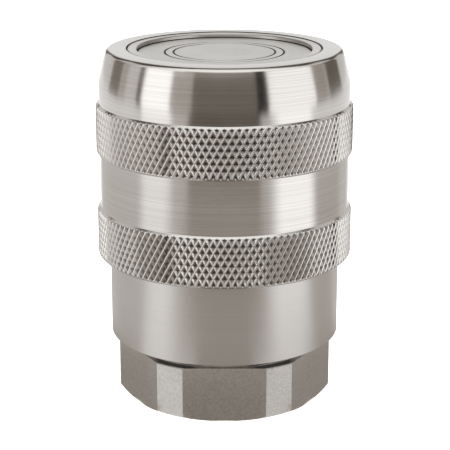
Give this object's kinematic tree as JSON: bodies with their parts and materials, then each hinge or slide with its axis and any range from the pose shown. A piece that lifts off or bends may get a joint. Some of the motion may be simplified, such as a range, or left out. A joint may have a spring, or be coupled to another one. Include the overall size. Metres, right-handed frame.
{
  "type": "hydraulic quick coupler",
  "caption": "Flat-face hydraulic quick coupler socket with a knurled pull-back locking sleeve, a sprung face ring and valve, and a threaded port in its wrench hex.",
  "frame": {"origin": "centre of the hex end's face, on the coupling axis", "axes": "+Z along the coupling axis towards the mating face; one flat of the hex faces -Y"},
  "size_m": [0.0444, 0.0444, 0.0615],
  "materials": {
    "sleeve_steel": "fine turned stainless steel, polished crown, diamond knurl",
    "body_steel": "satin turned stainless steel",
    "hex_steel": "milled stainless steel",
    "face_steel": "ground stainless steel",
    "inner_steel": "plain turned stainless steel",
    "spring_steel": "drawn stainless spring wire",
    "ball_steel": "polished ball steel",
    "seal_rubber": "black nitrile rubber",
    "backup_plastic": "off-white PTFE"
  },
  "bodies": {
    "coupler": {"coupler_body": "body_steel", "rear_adapter": "hex_steel", "adapter_seal": "seal_rubber", "adapter_backup_ring": "backup_plastic", "stem_support": "inner_steel", "stem_washer": "inner_steel", "stem_nut": "inner_steel", "valve_stem": "face_steel", "stem_seal": "seal_rubber", "valve_guide": "inner_steel", "valve_guide_seal": "seal_rubber", "valve_sleeve_seal": "seal_rubber", "valve_sleeve_backup_ring": "backup_plastic", "nose_seal": "seal_rubber", "nose_backup_ring": "backup_plastic", "locking_balls": "ball_steel", "sleeve_stop_ring": "spring_steel", "valve_spring": "spring_steel", "face_ring_spring": "spring_steel", "sleeve_spring": "spring_steel"},
    "spring_washer": {"sleeve_spring_washer": "inner_steel"},
    "sleeve": {"locking_sleeve": "sleeve_steel"},
    "face_ring": {"face_ring": "face_steel", "face_ring_wiper": "seal_rubber"},
    "valve_sleeve": {"valve_sleeve": "face_steel"}
  },
  "joints": [
    {"name": "sleeve_slide", "type": "slide", "parent": "coupler", "child": "spring_washer", "axis": [0, 0, 1], "range_m": [-0.0038, 0], "stiffness_N_per_m": 6000, "springref_m": 0.004, "deforming": ["sleeve_spring"]},
    {"name": "sleeve_turn", "type": "hinge", "parent": "spring_washer", "child": "sleeve", "pos_m": [0, 0, 0.045], "axis": [0, 0, 1], "continuous": true},
    {"name": "face_ring_slide", "type": "slide", "parent": "coupler", "child": "face_ring", "axis": [0, 0, 1], "range_m": [-0.0155, 0], "stiffness_N_per_m": 3000, "springref_m": 0.008, "deforming": ["face_ring_spring"]},
    {"name": "valve_sleeve_slide", "type": "slide", "parent": "coupler", "child": "valve_sleeve", "axis": [0, 0, 1], "range_m": [-0.0155, 0], "stiffness_N_per_m": 3000, "springref_m": 0.008, "deforming": ["valve_spring"]}
  ]
}
